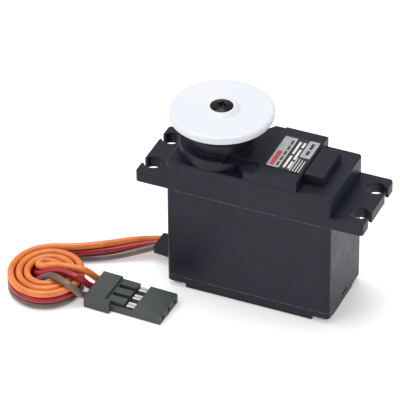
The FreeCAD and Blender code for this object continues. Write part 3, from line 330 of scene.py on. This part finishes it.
def ink(name, colour, other, roughness, metallic=0.0):
    """Thin printed film: an even colour with a slow change of shade and a soft ripple."""
    recipe = Recipe(name, colour, roughness, metallic)
    recipe.vary_colour(recipe.noise(0.6, 2.0), other)
    recipe.vary_roughness(recipe.noise(1.8, 3.0), roughness - 0.05, roughness + 0.08)
    recipe.bump(recipe.noise(0.5, 2.0), 0.02, 0.3)
    return recipe


SEAM_HALF_WIDTH = 0.11
# Colour of the painted highlight along the case's seams, standing in for light catching the seam
# edges.
SEAM_HIGHLIGHT_COLOUR = (0.13, 0.13, 0.145)


def paint_seam_highlights(recipe, levels):
    """Paint paler highlights along the parting lines of the case, in broken stretches, just below
    each seam.
    """
    height = recipe.height()
    broken = recipe.noise(1.1, 3.0, (1.0, 1.0, 0.05))
    for level in levels:
        above = recipe.math("SUBTRACT", height, level - SEAM_HALF_WIDTH)
        near = recipe.math("LESS_THAN", recipe.math("ABSOLUTE", above), SEAM_HALF_WIDTH)
        # Painted highlight: mix the paler seam colour into the case inside the band.
        recipe.vary_colour(recipe.math("MULTIPLY", near, broken), SEAM_HIGHLIGHT_COLOUR, 0.25, 0.75)


# What each recipe is given after the material's name: two colours, the roughness and, for
# some, more of the recipe's own values.
LOOKS = {
    moulded: {
        "case_plastic": ((0.0096, 0.0099, 0.0152), (0.0124, 0.0127, 0.0190), 0.38),
        "horn_plastic": ((0.72, 0.735, 0.775), (0.70, 0.715, 0.76), 0.38, 6.0, 0.003),
        "screw_black": ((0.004, 0.0042, 0.005), (0.007, 0.0072, 0.008), 0.22, 10.0, 0.002),
        "gear_nylon": ((0.80, 0.78, 0.70), (0.74, 0.72, 0.63), 0.42),
        "motor_magnet": ((0.06, 0.06, 0.065), (0.09, 0.09, 0.09), 0.62),
        "motor_cap": ((0.74, 0.73, 0.66), (0.68, 0.67, 0.6), 0.45),
        "sensor_plastic": ((0.10, 0.09, 0.085), (0.14, 0.13, 0.12), 0.5),
        "board_green": ((0.02, 0.16, 0.07), (0.03, 0.20, 0.09), 0.3),
        "board_parts": ((0.03, 0.03, 0.03), (0.05, 0.05, 0.05), 0.5),
        "relief_rubber": ((0.008, 0.009, 0.017), (0.011, 0.012, 0.022), 0.38, 5.0, 0.01),
        "plug_plastic": ((0.060, 0.068, 0.065), (0.074, 0.082, 0.078), 0.44, 6.0, 0.008),
    },
    turned_metal: {
        "screw_steel": ((0.42, 0.42, 0.43), (0.34, 0.34, 0.36), 0.34),
        "pin_steel": ((0.68, 0.68, 0.70), (0.6, 0.6, 0.62), 0.22),
        "bearing_steel": ((0.74, 0.74, 0.75), (0.66, 0.66, 0.68), 0.14),
        "cage_brass": ((0.72, 0.52, 0.22), (0.6, 0.42, 0.17), 0.3),
        "bush_brass": ((0.62, 0.42, 0.18), (0.5, 0.33, 0.14), 0.42),
        "gear_brass": ((0.78, 0.60, 0.26), (0.68, 0.5, 0.2), 0.28),
        "output_metal": ((0.74, 0.57, 0.26), (0.64, 0.48, 0.2), 0.28),
        "motor_steel": ((0.52, 0.53, 0.55), (0.44, 0.45, 0.47), 0.33),
        "motor_copper": ((0.62, 0.28, 0.12), (0.45, 0.2, 0.09), 0.35),
    },
    pressed_metal: {
        "contact_tin": ((0.93, 0.93, 0.92), (0.86, 0.86, 0.85), 0.34),
    },
    vinyl: {
        "wire_signal": ((0.82, 0.25, 0.055), (0.68, 0.17, 0.028), 0.2, 0.15, 0.25),
        "wire_power": ((0.43, 0.007, 0.022), (0.31, 0.005, 0.015), 0.15, 0.15, 0.25),
        "wire_ground": ((0.185, 0.13, 0.11), (0.115, 0.077, 0.065), 0.35, 0.5, 0.14),
    },
    brushed_film: {
        "label_film": ((0.012, 0.012, 0.014), (0.017, 0.017, 0.02), 0.3),
    },
    ink: {
        "ink_silver": ((0.50, 0.51, 0.54), (0.45, 0.46, 0.49), 0.36, 0.6),
        "ink_white": ((0.72, 0.72, 0.72), (0.66, 0.66, 0.66), 0.4),
        "ink_black": ((0.02, 0.02, 0.022), (0.03, 0.03, 0.032), 0.35),
        "ink_red": ((0.55, 0.05, 0.05), (0.48, 0.04, 0.045), 0.38),
    },
}


def make_materials():
    """Every material by name, from LOOKS and a few settings of its own."""
    recipes = {name: recipe(name, *values)
               for recipe, looks in LOOKS.items() for name, values in looks.items()}
    case = recipes["case_plastic"]
    case.set(Specular_IOR_Level=0.27, Specular_Tint=(0.88, 0.92, 1.0, 1.0), Sheen_Weight=0.05,
             Sheen_Roughness=0.45, Sheen_Tint=(0.3, 0.45, 1.0, 1.0))
    # Painted highlights just below the tops of the middle case and the bottom cover.
    paint_seam_highlights(case, [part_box(node)[1][2] / MM for node in ("middle_case", "bottom_cover")])
    recipes["horn_plastic"].set(Subsurface_Weight=0.25, Subsurface_Scale=0.8 * MM)
    recipes["screw_black"].set(Specular_IOR_Level=0.18)
    recipes["relief_rubber"].set(Specular_IOR_Level=0.22)
    recipes["plug_plastic"].set(Specular_IOR_Level=0.22)
    return {name: recipe.material for name, recipe in recipes.items()}


MATERIALS = make_materials()


def paint_frame():
    """Give every carried-over CAD node its slot's material."""
    slots = {row["node"]: row["material_slot"] for row in frame["record"]["subparts"]}
    for name, node in NODES.items():
        node.data.materials.clear()
        node.data.materials.append(MATERIALS[slots[name]])


# ------------------------------------------------------------------ label

INK_HEIGHT = 0.02
INK_SINK = 0.01
CORNER_STEPS = 3

# The print's bars, each (x low, x high, y low, y high) in millimetres from the label's low
# corner. X runs across the lines of print and y along them.
STRIP_FIELD = (0.25, 3.25, 0.3, 12.0)
CORNER_FIELD = (5.95, 8.35, 5.75, 12.25)
RED_BAR = (0.8, 1.85, 0.9, 6.4)
DASHES = [(2.3, 2.8, 0.9 + 2.1 * step, 2.55 + 2.1 * step) for step in range(5)]
FIRST_ROW = [(3.95, 4.5, start, end) for start, end in ((0.8, 5.6), (6.2, 11.1))]
SECOND_ROW = [(5.0, 5.55, start, end) for start, end in ((0.8, 3.7), (4.3, 8.4), (9.0, 11.1))]
FINE_LINES = [(5.73 + 0.66 * step, 5.93 + 0.66 * step, 0.2, 5.3 - 0.25 * step)
              for step in range(4)]
CORNER_MARKS = [(6.8, 7.5, start, end) for start, end in ((6.9, 8.6), (9.1, 11.4))]


def rounded(bar, corner):
    """Outline of a bar with round corners, anticlockwise from its high corner."""
    x_low, x_high, y_low, y_high = bar
    reach = min(corner, (x_high - x_low) / 2.1, (y_high - y_low) / 2.1)
    outline = []
    for quarter, (x, y) in enumerate(((x_high - reach, y_high - reach),
                                      (x_low + reach, y_high - reach),
                                      (x_low + reach, y_low + reach),
                                      (x_high - reach, y_low + reach))):
        for step in range(CORNER_STEPS + 1):
            angle = math.radians(90 * (quarter + step / CORNER_STEPS))
            outline.append((x + reach * math.cos(angle), y + reach * math.sin(angle)))
    return outline


def plate(name, bars, height, material, corner):
    """One piece made of flat round-cornered bars that stand a little above the label."""
    low, high = (Vector(end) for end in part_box("label_plate"))
    build = bmesh.new()
    for bar in bars:
        outline = rounded(bar, corner)
        rings = []
        for level in (-INK_SINK, height):
            rings.append([build.verts.new((low.x + x * MM, low.y + y * MM, high.z + level * MM))
                          for x, y in outline])
        build.faces.new(rings[1])
        build.faces.new(list(reversed(rings[0])))
        count = len(outline)
        for place in range(count):
            after = (place + 1) % count
            build.faces.new((rings[0][place], rings[0][after], rings[1][after], rings[1][place]))
    mesh = bpy.data.meshes.new(name)
    build.to_mesh(mesh)
    build.free()
    mesh.materials.append(MATERIALS[material])
    piece = bpy.data.objects.new(name, mesh)
    bpy.context.scene.collection.objects.link(piece)
    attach(piece, HOUSING)
    return piece


def make_label():
    """Generic print on the label: two silver fields, a red bar, white blocks and fine lines."""
    plate("label_fields", [STRIP_FIELD, CORNER_FIELD], INK_HEIGHT, "ink_silver", 0.35)
    plate("label_red", [RED_BAR], 2 * INK_HEIGHT, "ink_red", 0.3)
    plate("label_dashes", DASHES, 2 * INK_HEIGHT, "ink_black", 0.1)
    plate("label_blocks", FIRST_ROW + SECOND_ROW, INK_HEIGHT, "ink_white", 0.2)
    plate("label_lines", FINE_LINES, INK_HEIGHT, "ink_white", 0.08)
    plate("label_marks", CORNER_MARKS, 2 * INK_HEIGHT, "ink_black", 0.1)


# ------------------------------------------------------------------ stage

FLOOR_SIZE = 3.0
FLOOR_DROP = 0.02 * MM
FLOOR_GLOW = 0.28
WORLD_STRENGTH = 0.62
LIGHT_TARGET = (0, 0, 0.02)
LIGHTS = [
    {"name": "key", "place": (-0.12, 0.08, 0.80), "size": (0.5, 0.5), "power": 3.8},
    {"name": "front", "place": (-0.45, -0.55, 0.60), "size": (0.5, 0.4), "power": 1.35},
]


def make_stage():
    """White paper under the object, lit from below as well, so that its shadow stays faint."""
    floor_mesh = bpy.data.meshes.new("floor")
    build = bmesh.new()
    bmesh.ops.create_grid(build, x_segments=1, y_segments=1, size=FLOOR_SIZE)
    build.to_mesh(floor_mesh)
    build.free()
    floor = bpy.data.objects.new("floor", floor_mesh)
    floor.location.z = -FLOOR_DROP
    bpy.context.scene.collection.objects.link(floor)
    paper = Recipe("floor_paper", (0.93, 0.93, 0.935), 0.55)
    paper.vary_colour(paper.noise(0.02, 2.0), (0.915, 0.915, 0.925))
    paper.set(Emission_Color=(1.0, 1.0, 1.0, 1.0), Emission_Strength=FLOOR_GLOW)
    floor_mesh.materials.append(paper.material)


def make_light(name, place, size, power):
    """Soft rectangular light aimed at the object."""
    data = bpy.data.lights.new(name, "AREA")
    data.shape = "RECTANGLE"
    data.size, data.size_y = size
    data.energy = power
    light = bpy.data.objects.new(name, data)
    light.location = place
    aim = Vector(LIGHT_TARGET) - Vector(place)
    light.rotation_euler = aim.to_track_quat("-Z", "Y").to_euler()
    bpy.context.scene.collection.objects.link(light)


def make_world():
    """White surroundings: seen white, but lighting the object more softly than that."""
    world = bpy.data.worlds.new("studio")
    world.use_nodes = True
    tree = world.node_tree
    soft = tree.nodes["Background"]
    soft.inputs["Color"].default_value = (1.0, 1.0, 1.0, 1.0)
    soft.inputs["Strength"].default_value = WORLD_STRENGTH
    white = tree.nodes.new("ShaderNodeBackground")
    path = tree.nodes.new("ShaderNodeLightPath")
    mix = tree.nodes.new("ShaderNodeMixShader")
    tree.links.new(path.outputs["Is Camera Ray"], mix.inputs["Fac"])
    tree.links.new(soft.outputs["Background"], mix.inputs[1])
    tree.links.new(white.outputs["Background"], mix.inputs[2])
    tree.links.new(mix.outputs["Shader"], tree.nodes["World Output"].inputs["Surface"])
    bpy.context.scene.world = world


def make_lights():
    for light in LIGHTS:
        make_light(**light)
    bpy.context.scene.view_settings.view_transform = "Standard"


# ------------------------------------------------------------------ making

make_camera()
make_lead()
paint_frame()
make_label()
make_stage()
make_world()
make_lights()
